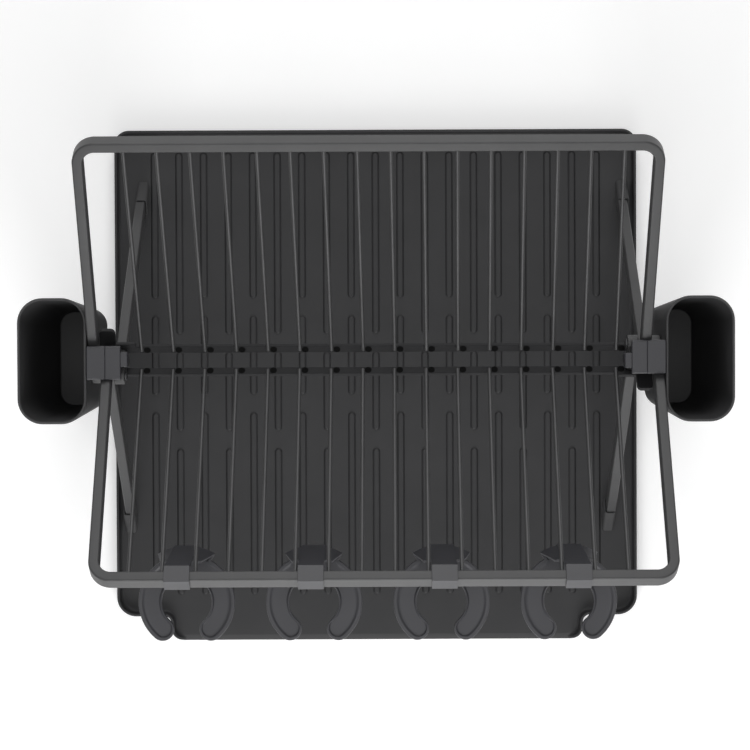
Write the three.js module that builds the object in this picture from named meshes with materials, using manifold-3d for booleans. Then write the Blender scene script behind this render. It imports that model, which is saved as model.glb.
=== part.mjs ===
// Folding dish rack: two crossed frames with plate rods, four feet on a drip tray,
// two hanging cutlery baskets and four stemware holders. Millimetres, +Z up, rear is +Y.
import * as THREE from 'three';
import { mergeVertices } from 'three/addons/utils/BufferGeometryUtils.js';
import Module from 'manifold-3d';

const wasm = await Module();
wasm.setup();

// Running clearance between separate pieces, and the overrun of every cut
const gap = 0.3;
const overrun = 2;

// Plate rods
const rodsPerFrame = 16;
const rodPitch = 24;
const rodRadius = 1.5;
const rodSides = 10;
const rodEndMargin = 10;

// Frame bars: width across the rack, thickness across the loop plane, edge rounding
const barWidth = 7.7;
const barThickness = 12.4;
const barRound = 1.3;
const barRoundSteps = 2;

// Frame lay-out: arms above the pivot, legs below it, angles from the vertical
const pivotHeight = 173.5;
const armLength = 185.8;
const armAngle = THREE.MathUtils.degToRad(57);
const legEndRise = 6.5;
const legAngle = THREE.MathUtils.degToRad(38.7);
const layerGap = 2.2;
const loopCornerRadius = 13;
const loopCornerSteps = 8;
const endRoundSteps = 5;
const tailLength = 18;
const lapLength = 14;
const middleLegStart = 12.5;

// Crossbar that carries the lower rod ends
const crossbarDepth = 6.2;
const crossbarThickness = 4;
const crossbarAlong = 6.6;
const crossbarOutside = 6.3;
const crossbarRound = 1;
const crossbarLugDepth = 4.4;
const crossbarLugAlong = 9.6;
const crossbarLugLap = 7;
const bracketWidth = 12;
const bracketReach = 24;
const bracketRound = 3.5;
const bracketRoundSteps = 4;
const rodFootInset = 3.3;

// Pivot pins and lap rivets
const pinRadius = 2.5;
const pinHeadRadius = 4.4;
const pinHeadThickness = 2.2;
const pinChamfer = 0.6;
const pinSides = 20;
const rivetRadius = 2;
const rivetHeadRadius = 3.6;
const rivetHeadThickness = 1.6;
const tailRivetPlace = 14.5;
const lapRivetPlace = 13.5;

// Foot caps
const capWall = 1.7;
const capLength = 12.5;
const capTaper = 1.2;

// Drip tray
const footToWall = 4.5;
const trayRearMargin = 56.3;
const trayFrontMargin = 83.3;
const trayHeight = 14;
const trayWall = 2.2;
const trayFloor = 2.6;
const trayRearRadius = 12;
const trayFrontRadius = 16;
const lipReach = 21.5;
const lipSideMargin = 45;
const lipCornerRadius = 12;
const lipNotchRadius = 6;
const lipFall = 1.4;
const trayArcSteps = 6;

// Raised ribs on the tray floor
const ribColumns = 19;
const ribSideMargin = 32.2;
const ribWidth = 5.2;
const ribHeight = 1.7;
const ribRearMargin = 18;
const ribFrontMargin = 17;
const ribGapLength = 15.5;
const ribEvenBreakShares = [0.3484, 0.5671];
const ribOddBreakShares = [0.4299, 0.6489];
const ribEndSteps = 4;

// Cutlery baskets
const basketClearance = 0.4;
const basketMouthWidth = 52;
const basketMouthDepth = 95;
const basketMouthRadius = 19;
const basketFloorWidth = 41;
const basketFloorDepth = 81;
const basketFloorRadius = 14;
const basketTopDrop = 1.5;
const basketHeight = 150;
const basketWall = 2;
const basketDraft = 0.6;
const basketEdgeRadius = 6;
const basketCornerSteps = 6;
const basketEdgeSteps = 4;

// Hooks that seat the baskets in the vee above each pivot
const hookNear = 11.3;
const hookFar = 14.3;
const hookCover = 3.9;
const hookStep = 1.2;
const hookEndMargin = 2.3;
const hookChamfer = 1.2;
const tongueNear = 6.7;
const tongueFar = 4.6;
const tongueThickness = 2.4;
const tongueTopDrop = 3;
const tongueDepth = 10.9;

// Stemware holders
const holderCount = 4;
const rodsPerHolder = 4;
const clipToRod = 1.3;
const clipWall = 1.8;
const clipLip = 4.6;
const clipRear = 10.4;
const clipAside = 0.5;
const prongDrop = 82.7;
const prongThickness = 3;
const prongAhead = 26.1;
const prongOuterRadius = 35.5;
const prongInnerRadius = 19.3;
const prongTipAngle = THREE.MathUtils.degToRad(48.5);
const prongArcSteps = 12;
const webRadius = 42.3;
const webAngle = THREE.MathUtils.degToRad(30.8);
const webInset = 0.4;
const webShoulderAngle = THREE.MathUtils.degToRad(20.8);
const webShoulderHeight = 52;
const webNeckHeight = 59;

// Bars: half sizes, and the places of the three layers from the rods outwards
const halfWidth = barWidth / 2;
const halfThickness = barThickness / 2;
const innermostFace = (rodsPerFrame - 1) / 2 * rodPitch + rodEndMargin;
const innerLayer = innermostFace + halfWidth;
const middleLayer = innerLayer + barWidth + layerGap;
const outerLayer = middleLayer + barWidth + layerGap;

// Side view: the top bar's place and height, the leg's length and reach
const bendAngle = armAngle - legAngle;
const barReach = armLength * Math.sin(armAngle);
const barHeight = pivotHeight + armLength * Math.cos(armAngle);
const floorDrop = pivotHeight - trayFloor - gap;
const legLength = (pivotHeight - trayFloor - legEndRise) / Math.cos(legAngle);
const legReach = legLength * Math.sin(legAngle);

// Tray: room for the feet inside its walls, and the ribs within its floor
const trayHalfWidth = middleLayer + halfWidth + capWall + footToWall + trayWall;
const trayRear = legReach + trayRearMargin;
const trayFront = legReach + trayFrontMargin;
const lipHalfWidth = trayHalfWidth - lipSideMargin;
const ribPitch = 2 * (trayHalfWidth - ribSideMargin) / (ribColumns - 1);
const ribRear = trayRear - ribRearMargin;
const ribFront = trayFront - ribFrontMargin;
const sidewaysCentre = (trayRear - trayFront - lipReach) / 2;

// Baskets and hooks: beside the outer layer, over the vee of the arms
const seatRise = halfThickness / Math.sin(armAngle) + gap;
const seatHeight = (y) => pivotHeight + Math.abs(y) / Math.tan(armAngle) + seatRise;
const hookTop = seatHeight(hookFar) + hookCover;
const tongueTop = hookTop - tongueTopDrop;
const tongueBottom = tongueTop - tongueDepth;
const tongueReach = innermostFace - gap - tongueThickness;
const basketInner = outerLayer + halfWidth + basketClearance;
const basketTop = hookTop - basketTopDrop;
const basketBottom = basketTop - basketHeight;

// Stemware holders: between two rods, hung from the front frame's top bar
const holderPitch = rodsPerHolder * rodPitch;
const clipWidth = rodPitch - 2 * (rodRadius + clipToRod);
const prongTop = barHeight - prongDrop;
const prongCentre = -barReach - prongAhead;
const webFoot = webRadius - prongAhead + webInset;

// Finishes
function finish(colour, roughness, metalness) {
  return new THREE.MeshStandardMaterial({ color: colour, roughness, metalness });
}
const paint = () => finish(0x505152, 0.55, 0.35);
const rodPaint = () => finish(0x4a4b4c, 0.5, 0.35);
const steel = () => finish(0x8a8c8e, 0.35, 0.9);
const trayPlastic = () => finish(0x3f4043, 0.6, 0);
const basketPlastic = () => finish(0x3c3d3f, 0.65, 0);
const clipPlastic = () => finish(0x4b4c50, 0.55, 0);
const footRubber = () => finish(0x2c2d2f, 0.85, 0);

// Conversions between meshes and solids
function toSolid(geometry) {
  const bare = geometry.clone();
  bare.deleteAttribute('normal');
  bare.deleteAttribute('uv');
  const merged = mergeVertices(bare);
  return new wasm.Manifold(new wasm.Mesh({
    numProp: 3,
    vertProperties: new Float32Array(merged.attributes.position.array),
    triVerts: new Uint32Array(merged.index.array),
  }));
}

function toGeometry(solid) {
  const mesh = solid.getMesh();
  const geometry = new THREE.BufferGeometry();
  geometry.setAttribute('position', new THREE.BufferAttribute(new Float32Array(mesh.vertProperties), 3));
  geometry.setIndex(new THREE.BufferAttribute(new Uint32Array(mesh.triVerts), 1));
  geometry.computeVertexNormals();
  return geometry;
}

function cut(geometry, tools) {
  return toGeometry(tools.reduce((solid, tool) => solid.subtract(toSolid(tool)), toSolid(geometry)));
}

function join(geometries) {
  return toGeometry(geometries.map(toSolid).reduce((solid, other) => solid.add(other)));
}

function piece(name, geometry, material) {
  const mesh = new THREE.Mesh(geometry, material);
  mesh.name = name;
  return mesh;
}

// A solid through rings of equal point count, closed by a fan at each end
function loft(rings) {
  const count = rings[0].length;
  const points = rings.flat();
  const index = [];
  for (let r = 0; r + 1 < rings.length; r += 1) {
    for (let i = 0; i < count; i += 1) {
      const a = r * count + i;
      const b = r * count + ((i + 1) % count);
      index.push(a, b, b + count, a, b + count, a + count);
    }
  }
  const last = (rings.length - 1) * count;
  for (let i = 1; i + 1 < count; i += 1) {
    index.push(0, i + 1, i, last, last + i, last + i + 1);
  }
  let volume = 0;
  for (let i = 0; i < index.length; i += 3) {
    const [a, b, c] = [points[index[i]], points[index[i + 1]], points[index[i + 2]]];
    volume += a.dot(b.clone().cross(c));
  }
  if (volume < 0) index.reverse();
  const geometry = new THREE.BufferGeometry().setFromPoints(points);
  geometry.setIndex(index);
  geometry.computeVertexNormals();
  return geometry;
}

// Points along an arc, from one angle to another
function arcPoints(x, y, radius, from, to, steps) {
  return Array.from({ length: steps + 1 }, (_, k) => {
    const angle = from + (to - from) * k / steps;
    return new THREE.Vector2(x + radius * Math.cos(angle), y + radius * Math.sin(angle));
  });
}

// Points of a rounded rectangle, counter-clockwise
function roundedRectangle(halfX, halfY, radius, steps) {
  const points = [];
  for (const [sx, sy, start] of [[1, 1, 0], [-1, 1, 1], [-1, -1, 2], [1, -1, 3]]) {
    for (let k = 0; k <= steps; k += 1) {
      const angle = (start + k / steps) * Math.PI / 2;
      points.push(new THREE.Vector2(
        sx * (halfX - radius) + radius * Math.cos(angle),
        sy * (halfY - radius) + radius * Math.sin(angle),
      ));
    }
  }
  return points;
}

const barSection = roundedRectangle(halfWidth, halfThickness, barRound, barRoundSteps);

function barRing(centre, across, through, thinning = 1) {
  return barSection.map((p) => centre.clone()
    .addScaledVector(across, p.x)
    .addScaledVector(through, p.y * thinning));
}

// Rings of a bar's half-round end, running outwards from a full section
function roundEnd(centre, outward, across, through) {
  const rings = [];
  for (let k = 1; k <= endRoundSteps; k += 1) {
    const angle = (k / (endRoundSteps + 1)) * Math.PI / 2;
    const place = centre.clone().addScaledVector(outward, halfThickness * Math.sin(angle));
    rings.push(barRing(place, across, through, Math.cos(angle)));
  }
  return rings;
}

// Direction in the side view, turned from straight up towards the outside of the frame
function sideways(angle) {
  return new THREE.Vector3(0, Math.sin(angle), Math.cos(angle));
}

// The cross direction of a bar that runs along sideways(angle)
function crossways(angle) {
  return new THREE.Vector3(0, Math.cos(angle), -Math.sin(angle));
}

// A side profile given in the YZ plane, extruded along X between two places
function profileAlongX(points, from, to) {
  const shape = new THREE.Shape(points);
  const geometry = new THREE.ExtrudeGeometry(shape, { depth: to - from, bevelEnabled: false });
  const basis = new THREE.Matrix4().makeBasis(
    new THREE.Vector3(0, 1, 0),
    new THREE.Vector3(0, 0, 1),
    new THREE.Vector3(1, 0, 0),
  );
  return geometry.applyMatrix4(basis).translate(from, 0, 0);
}

// An outline in the XY plane, extruded up between two heights
function plate(points, bottom, top) {
  return new THREE.ExtrudeGeometry(new THREE.Shape(points), { depth: top - bottom, bevelEnabled: false })
    .translate(0, 0, bottom);
}

function box(x0, x1, y0, y1, z0, z1) {
  return new THREE.BoxGeometry(x1 - x0, y1 - y0, z1 - z0)
    .translate((x0 + x1) / 2, (y0 + y1) / 2, (z0 + z1) / 2);
}

function roundAlongX(radius, from, to, y, z, sides) {
  return new THREE.CylinderGeometry(radius, radius, to - from, sides)
    .rotateZ(Math.PI / 2)
    .translate((from + to) / 2, y, z);
}

function holeAt(radius, layer, centre) {
  const reach = halfWidth + overrun;
  return roundAlongX(radius + gap, layer - reach, layer + reach, centre.y, centre.z, pinSides);
}

// Bent upper loop: its outer side runs on past the pivot as a tail, its other side ends at it
function loopGeometry() {
  const left = -outerLayer;
  const right = middleLayer;
  const up = new THREE.Vector3(0, 0, 1);
  const through = new THREE.Vector3(0, 1, 0);
  const outwardLeft = new THREE.Vector3(-1, 0, 0);
  const outwardRight = new THREE.Vector3(1, 0, 0);
  const tailWay = sideways(Math.PI - bendAngle);
  const tailThrough = crossways(-bendAngle);
  const bendThrough = crossways(-bendAngle / 2).divideScalar(Math.cos(bendAngle / 2));
  const tailEnd = tailWay.clone().multiplyScalar(tailLength).setX(left);
  const shoulder = armLength - loopCornerRadius;
  const rings = [
    ...roundEnd(tailEnd, tailWay, outwardLeft, tailThrough).reverse(),
    barRing(tailEnd, outwardLeft, tailThrough),
    barRing(new THREE.Vector3(left, 0, 0), outwardLeft, bendThrough),
  ];
  for (const [side, start] of [[left + loopCornerRadius, 2], [right - loopCornerRadius, 1]]) {
    for (let k = 0; k <= loopCornerSteps; k += 1) {
      const angle = (start - k / loopCornerSteps) * Math.PI / 2;
      const across = new THREE.Vector3(Math.cos(angle), 0, Math.sin(angle));
      const centre = new THREE.Vector3(side, 0, shoulder).addScaledVector(across, loopCornerRadius);
      rings.push(barRing(centre, across, through));
    }
  }
  const pivotEnd = new THREE.Vector3(right, 0, 0);
  rings.push(barRing(pivotEnd, outwardRight, through));
  rings.push(...roundEnd(pivotEnd, up.clone().negate(), outwardRight, through));
  return cut(loft(rings), [
    holeAt(pinRadius, left, new THREE.Vector3()),
    holeAt(pinRadius, right, new THREE.Vector3()),
    holeAt(rivetRadius, left, tailWay.clone().multiplyScalar(tailRivetPlace)),
    holeAt(rivetRadius, right, up.clone().multiplyScalar(lapRivetPlace)),
  ]);
}

// Straight leg in the middle layer, riveted to the tail of the loop below the pivot
function middleLegGeometry() {
  const across = new THREE.Vector3(1, 0, 0);
  const through = new THREE.Vector3(0, 1, 0);
  const start = new THREE.Vector3(-middleLayer, 0, -middleLegStart);
  const end = new THREE.Vector3(-middleLayer, 0, -legLength);
  const rings = [
    ...roundEnd(start, new THREE.Vector3(0, 0, 1), across, through).reverse(),
    barRing(start, across, through),
    barRing(end, across, through),
  ];
  return cut(loft(rings), [holeAt(rivetRadius, -middleLayer, new THREE.Vector3(0, 0, -tailRivetPlace))]);
}

// Bent leg in the inner layer, riveted along the arm above the pivot
function innerLegGeometry() {
  const across = new THREE.Vector3(1, 0, 0);
  const lapWay = sideways(bendAngle);
  const lapThrough = crossways(bendAngle);
  const bendThrough = crossways(bendAngle / 2).divideScalar(Math.cos(bendAngle / 2));
  const top = lapWay.clone().multiplyScalar(lapLength).setX(innerLayer);
  const rings = [
    ...roundEnd(top, lapWay, across, lapThrough).reverse(),
    barRing(top, across, lapThrough),
    barRing(new THREE.Vector3(innerLayer, 0, 0), across, bendThrough),
    barRing(new THREE.Vector3(innerLayer, 0, -legLength), across, new THREE.Vector3(0, 1, 0)),
  ];
  return cut(loft(rings), [
    holeAt(pinRadius, innerLayer, new THREE.Vector3()),
    holeAt(rivetRadius, innerLayer, lapWay.clone().multiplyScalar(lapRivetPlace)),
  ]);
}

// Foot cap: a shoe on the leg's end, cut level with the tray floor, with its side that faces
// the other frame's leg left open so that the two can pass
function footCapGeometry(layer) {
  const half = halfThickness + capWall;
  const openSide = layer + halfWidth;
  const closedSide = layer - halfWidth - capWall;
  const top = capLength - legLength;
  const level = (y) => (y * Math.sin(legAngle) - floorDrop) / Math.cos(legAngle);
  const outline = [
    new THREE.Vector2(-half, level(-half)),
    new THREE.Vector2(half, level(half)),
    new THREE.Vector2(half, top - capTaper),
    new THREE.Vector2(half - capTaper, top),
    new THREE.Vector2(capTaper - half, top),
    new THREE.Vector2(-half, top - capTaper),
  ];
  const pocket = box(
    layer - halfWidth - gap,
    openSide + overrun,
    -halfThickness - gap,
    halfThickness + gap,
    -legLength - gap,
    top + overrun,
  );
  return cut(profileAlongX(outline, closedSide, openSide), [pocket]);
}

// Crossbar between the innermost bars; a raised lug takes it past the other frame's leg to a
// bracket that lies along the outer arm
function crossbarGeometry() {
  const run = (from, to, along, depth) => {
    const section = roundedRectangle(crossbarThickness / 2, depth / 2, crossbarRound, barRoundSteps);
    const ring = (x) => section.map((p) => new THREE.Vector3(x, crossbarOutside + p.x, along + p.y));
    return loft([ring(from), ring(to)]);
  };
  const reach = innermostFace - gap;
  const armFace = gap + halfWidth - outerLayer;
  const bracketFoot = crossbarLugAlong - crossbarLugDepth / 2;
  const bracketDepth = bracketReach - bracketFoot;
  const outline = roundedRectangle(bracketWidth / 2, bracketDepth / 2, bracketRound, bracketRoundSteps);
  const level = (outside) => outline.map((p) => new THREE.Vector3(
    armFace + bracketWidth / 2 + p.x,
    outside,
    bracketFoot + bracketDepth / 2 + p.y,
  ));
  return join([
    run(-reach, reach, crossbarAlong, crossbarDepth),
    run(armFace, crossbarLugLap - reach, crossbarLugAlong, crossbarLugDepth),
    loft([level(crossbarOutside - crossbarThickness / 2), level(crossbarOutside + crossbarThickness / 2)]),
  ]);
}

// Rod across the frame: its foot lies on the crossbar, its head meets the top bar
function rodGeometry(x) {
  const foot = crossbarAlong - crossbarDepth / 2 + rodFootInset;
  const head = armLength - halfWidth - gap;
  const outside = crossbarOutside - crossbarThickness / 2 - rodRadius - gap;
  return new THREE.CylinderGeometry(rodRadius, rodRadius, head - foot, rodSides)
    .rotateX(Math.PI / 2)
    .translate(x, outside, (foot + head) / 2);
}

// Round pin along X with a low head at its inner end
function headedPin(radius, headRadius, headThickness, outerEnd, headFace) {
  const inward = Math.sign(headFace - outerEnd);
  const length = Math.abs(headFace - outerEnd);
  const profile = [
    new THREE.Vector2(0, 0),
    new THREE.Vector2(radius - pinChamfer, 0),
    new THREE.Vector2(radius, pinChamfer),
    new THREE.Vector2(radius, length),
    new THREE.Vector2(headRadius, length),
    new THREE.Vector2(headRadius, length + headThickness - pinChamfer),
    new THREE.Vector2(headRadius - pinChamfer, length + headThickness),
    new THREE.Vector2(0, length + headThickness),
  ];
  return new THREE.LatheGeometry(profile, pinSides)
    .rotateZ(-inward * Math.PI / 2)
    .translate(outerEnd, 0, 0);
}

// Headless rivet through the loop's tail and the middle leg, flush at both faces
function tailRivetGeometry() {
  const from = gap - outerLayer - halfWidth;
  const to = halfWidth - middleLayer - gap;
  return roundAlongX(rivetRadius, from, to, 0, -tailRivetPlace, pinSides);
}

function lapRivetGeometry() {
  const outer = middleLayer + halfWidth - gap;
  return headedPin(rivetRadius, rivetHeadRadius, rivetHeadThickness, outer, innermostFace - gap)
    .translate(0, 0, lapRivetPlace);
}

// One whole frame with its arms, rods, legs and feet; the other is the same, turned half round
function makeFrame(side) {
  const frame = new THREE.Group();
  frame.position.set(0, 0, pivotHeight);
  const arms = new THREE.Group();
  arms.rotation.x = -armAngle;
  arms.add(piece(`${side}_loop`, loopGeometry(), paint()));
  arms.add(piece(`${side}_crossbar`, crossbarGeometry(), paint()));
  arms.add(piece(`${side}_lap_rivet`, lapRivetGeometry(), steel()));
  for (let i = 0; i < rodsPerFrame; i += 1) {
    const x = (i - (rodsPerFrame - 1) / 2) * rodPitch;
    arms.add(piece(`${side}_rod_${i + 1}`, rodGeometry(x), rodPaint()));
  }
  const legs = new THREE.Group();
  legs.rotation.x = -legAngle;
  legs.add(piece(`${side}_middle_leg`, middleLegGeometry(), paint()));
  legs.add(piece(`${side}_inner_leg`, innerLegGeometry(), paint()));
  legs.add(piece(`${side}_tail_rivet`, tailRivetGeometry(), steel()));
  legs.add(piece(`${side}_middle_foot`, footCapGeometry(-middleLayer), footRubber()));
  legs.add(piece(`${side}_inner_foot`, footCapGeometry(innerLayer), footRubber()));
  frame.add(arms, legs);
  return frame;
}

function makePivotPin(name, side) {
  const outerEnd = side * (outerLayer + halfWidth - gap);
  const headFace = side * (innermostFace - gap);
  const pin = piece(name, headedPin(pinRadius, pinHeadRadius, pinHeadThickness, outerEnd, headFace), steel());
  pin.position.set(0, 0, pivotHeight);
  return pin;
}

// Outline of the tray, with its pouring lip at the front; inset moves it inwards
function trayOutline(inset) {
  const half = trayHalfWidth - inset;
  const rear = trayRear - inset;
  const front = -trayFront + inset;
  const lip = -trayFront - lipReach + inset;
  const lipHalf = lipHalfWidth - inset;
  const rearRadius = trayRearRadius - inset;
  const frontRadius = trayFrontRadius - inset;
  const lipRadius = lipCornerRadius - inset;
  const notchRadius = lipNotchRadius + inset;
  const points = [];
  const quarter = Math.PI / 2;
  const arc = (x, y, radius, from, to) => {
    points.push(...arcPoints(x, y, radius, from * quarter, to * quarter, trayArcSteps));
  };
  arc(half - rearRadius, rear - rearRadius, rearRadius, 0, 1);
  arc(rearRadius - half, rear - rearRadius, rearRadius, 1, 2);
  arc(frontRadius - half, front + frontRadius, frontRadius, 2, 3);
  arc(-lipHalf - notchRadius, front - notchRadius, notchRadius, 1, 0);
  arc(lipRadius - lipHalf, lip + lipRadius, lipRadius, 2, 3);
  arc(lipHalf - lipRadius, lip + lipRadius, lipRadius, 3, 4);
  arc(lipHalf + notchRadius, front - notchRadius, notchRadius, 2, 1);
  arc(half - frontRadius, front + frontRadius, frontRadius, 3, 4);
  return points;
}

// One raised rib between two places along the tray, with half-round ends
function ribGeometry(x, rear, front) {
  const radius = ribWidth / 2;
  const points = [
    ...arcPoints(x, rear - radius, radius, 0, Math.PI, ribEndSteps),
    ...arcPoints(x, front + radius, radius, Math.PI, 2 * Math.PI, ribEndSteps),
  ];
  return plate(points, trayFloor / 2, trayFloor + ribHeight);
}

function makeTray() {
  const hollow = plate(trayOutline(trayWall), trayFloor, trayHeight + overrun);
  const lipEnd = -trayFront - lipReach - overrun;
  const lipCut = profileAlongX([
    new THREE.Vector2(-trayFront, trayFloor),
    new THREE.Vector2(-trayFront, trayHeight + overrun),
    new THREE.Vector2(lipEnd, trayHeight + overrun),
    new THREE.Vector2(lipEnd, trayFloor - lipFall),
  ], lipCornerRadius - lipHalfWidth, lipHalfWidth - lipCornerRadius);
  let tray = toSolid(cut(plate(trayOutline(0), 0, trayHeight), [hollow, lipCut]));
  for (let c = 0; c < ribColumns; c += 1) {
    const x = (c - (ribColumns - 1) / 2) * ribPitch;
    const shares = c % 2 === 0 ? ribEvenBreakShares : ribOddBreakShares;
    const breaks = shares.map((share) => ribRear - share * (ribRear + ribFront));
    const starts = [ribRear, ...breaks.map((y) => y - ribGapLength / 2)];
    const ends = [...breaks.map((y) => y + ribGapLength / 2), -ribFront];
    starts.forEach((start, i) => {
      tray = tray.add(toSolid(ribGeometry(x, start, ends[i])));
    });
  }
  return piece('drip_tray', toGeometry(tray), trayPlastic());
}

// One level of the basket: a rounded rectangle whose inner side stays near the rack
function basketRing(side, share, inset, z) {
  const mix = (atFloor, atMouth) => atFloor + (atMouth - atFloor) * share;
  const width = mix(basketFloorWidth, basketMouthWidth) - 2 * inset;
  const depth = mix(basketFloorDepth, basketMouthDepth) - 2 * inset;
  const radius = Math.max(mix(basketFloorRadius, basketMouthRadius) - inset, basketWall);
  const inner = basketInner + basketDraft * (1 - share) + inset;
  const centre = side * (inner + width / 2);
  return roundedRectangle(width / 2, depth / 2, radius, basketCornerSteps)
    .map((p) => new THREE.Vector3(centre + p.x, p.y, z));
}

function basketGeometry(side) {
  const rings = [];
  const skin = (inset, bottom) => {
    const levels = [];
    const edge = basketEdgeRadius - inset;
    for (let k = 0; k <= basketEdgeSteps; k += 1) {
      const angle = (k / basketEdgeSteps) * Math.PI / 2;
      const z = bottom + edge * (1 - Math.sin(angle));
      const share = (z - basketBottom) / basketHeight;
      levels.push(basketRing(side, share, inset + edge * (1 - Math.cos(angle)), z));
    }
    return levels;
  };
  rings.push(...skin(0, basketBottom).reverse());
  rings.push(basketRing(side, 1, 0, basketTop));
  rings.push(basketRing(side, 1, basketWall, basketTop));
  rings.push(...skin(basketWall, basketBottom + basketWall));
  return loft(rings);
}

// Hook: a vee-bottomed saddle over the arms with a tongue behind the innermost bar
function hookGeometry(side) {
  const hookReach = innermostFace + hookEndMargin;
  const saddle = (from, to, top) => profileAlongX([
    new THREE.Vector2(-hookNear, seatHeight(hookNear)),
    new THREE.Vector2(0, seatHeight(0)),
    new THREE.Vector2(hookFar, seatHeight(hookFar)),
    new THREE.Vector2(hookFar, top - hookChamfer),
    new THREE.Vector2(hookFar - hookChamfer, top),
    new THREE.Vector2(hookChamfer - hookNear, top),
    new THREE.Vector2(-hookNear, top - hookChamfer),
  ], from, to);
  const shelf = seatHeight(tongueNear);
  const geometry = join([
    saddle(middleLayer, basketInner - gap, hookTop),
    saddle(hookReach, middleLayer + gap, hookTop - hookStep),
    box(tongueReach, hookReach + overrun, -tongueNear, tongueFar, shelf, tongueTop),
    box(tongueReach, tongueReach + tongueThickness, -tongueNear, tongueFar, tongueBottom, shelf + gap),
  ]);
  return side > 0 ? geometry : geometry.rotateZ(Math.PI);
}

// Side profile of a stemware holder: lip, bridge over the bar and web down to the prongs
function clipProfile() {
  const sin = Math.sin(armAngle);
  const cos = Math.cos(armAngle);
  const at = (along, outside) => new THREE.Vector2(
    -barReach - along * sin - outside * cos,
    barHeight + along * cos - outside * sin,
  );
  const inner = gap;
  const outer = gap + clipWall;
  const bridge = (depth, reach) => {
    const outside = -halfThickness - depth;
    const along = (-reach - outside * cos) / sin;
    return at(along, outside);
  };
  const bottom = prongTop - prongThickness / 2;
  return [
    at(halfWidth + inner, clipLip),
    at(halfWidth + outer, clipLip),
    at(halfWidth + outer, -halfThickness - outer),
    bridge(outer, clipRear),
    new THREE.Vector2(webFoot - barReach, bottom),
    new THREE.Vector2(webFoot - clipWall - barReach, bottom),
    bridge(inner, clipRear - clipWall),
    at(halfWidth + inner, -halfThickness - inner),
  ].reverse();
}

// Half of the horseshoe's outline, from its rear middle round the tip to the inner opening
function prongHalf() {
  const middleRadius = (prongOuterRadius + prongInnerRadius) / 2;
  const tipRadius = (prongOuterRadius - prongInnerRadius) / 2;
  const tipX = middleRadius * Math.cos(prongTipAngle);
  const tipY = prongCentre - middleRadius * Math.sin(prongTipAngle);
  const upright = Math.PI / 2;
  return [
    ...arcPoints(0, prongCentre, webRadius, upright, upright - webAngle, prongArcSteps / 2),
    ...arcPoints(0, prongCentre, prongOuterRadius, upright - webAngle, -prongTipAngle, prongArcSteps),
    ...arcPoints(tipX, tipY, tipRadius, -prongTipAngle, -prongTipAngle - Math.PI, prongArcSteps).slice(1, -1),
    ...arcPoints(0, prongCentre, prongInnerRadius, -prongTipAngle, upright, prongArcSteps),
  ];
}

// Flared foot of the web: a curved wall on the horseshoe's rear edge, with shoulders under the rods
function webFlare() {
  const reach = barReach - clipRear - webInset;
  const lean = (prongCentre + webRadius + reach) / (barHeight - prongTop);
  const neckAngle = Math.asin((clipWidth / 2 - webInset) / webRadius);
  const ring = (z, angle) => {
    const centre = prongCentre - lean * (z - prongTop);
    const [from, to] = [Math.PI / 2 - angle, Math.PI / 2 + angle];
    return [
      ...arcPoints(0, centre, webRadius, from, to, prongArcSteps),
      ...arcPoints(0, centre, webRadius - clipWall, to, from, prongArcSteps),
    ].map((p) => new THREE.Vector3(p.x, p.y, z));
  };
  return loft([
    ring(prongTop - prongThickness / 2, webAngle),
    ring(prongTop + webShoulderHeight, webShoulderAngle),
    ring(prongTop + webNeckHeight, neckAngle),
  ]);
}

function holderGeometry() {
  const half = prongHalf();
  const mirrored = half.slice(1, -1).reverse().map((p) => new THREE.Vector2(-p.x, p.y));
  const prongs = plate([...half, ...mirrored].reverse(), prongTop - prongThickness, prongTop);
  const clip = profileAlongX(clipProfile(), -clipWidth / 2, clipWidth / 2);
  return join([clip, prongs, webFlare()]);
}

// The whole rack, centred over its own outline
const rack = new THREE.Group();
rack.position.set(0, -sidewaysCentre, 0);
rack.add(makeTray());
rack.add(makePivotPin('left_pivot_pin', -1));
rack.add(makePivotPin('right_pivot_pin', 1));
rack.add(makeFrame('rear'));
const frontHalf = new THREE.Group();
frontHalf.rotation.z = Math.PI;
frontHalf.add(makeFrame('front'));
rack.add(frontHalf);
for (const [name, side] of [['left', -1], ['right', 1]]) {
  rack.add(piece(`${name}_basket`, basketGeometry(side), basketPlastic()));
  rack.add(piece(`${name}_basket_hook`, hookGeometry(side), clipPlastic()));
}
for (let i = 0; i < holderCount; i += 1) {
  const holder = piece(`stemware_holder_${i + 1}`, holderGeometry(), clipPlastic());
  holder.position.x = clipAside + (i - (holderCount - 1) / 2) * holderPitch;
  rack.add(holder);
}

export default rack;
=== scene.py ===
# %% [markdown]
# # A folding dish rack, dressed for its picture
#
# The rack has two crossed frames of painted bar, thirty-two thin plate rods, a moulded drip tray,
# two cutlery baskets and four stemware holders. The working model fixes where everything is. This
# notebook gives each piece the rounded edges, rims and finish that the eye looks for.
#
# Every new surface is an array of points worked out with numpy: a section carried along a path, or
# a ring that changes with height. Lengths are in millimetres until the last step into the mesh.

# %% Load the working model
import math

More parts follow.
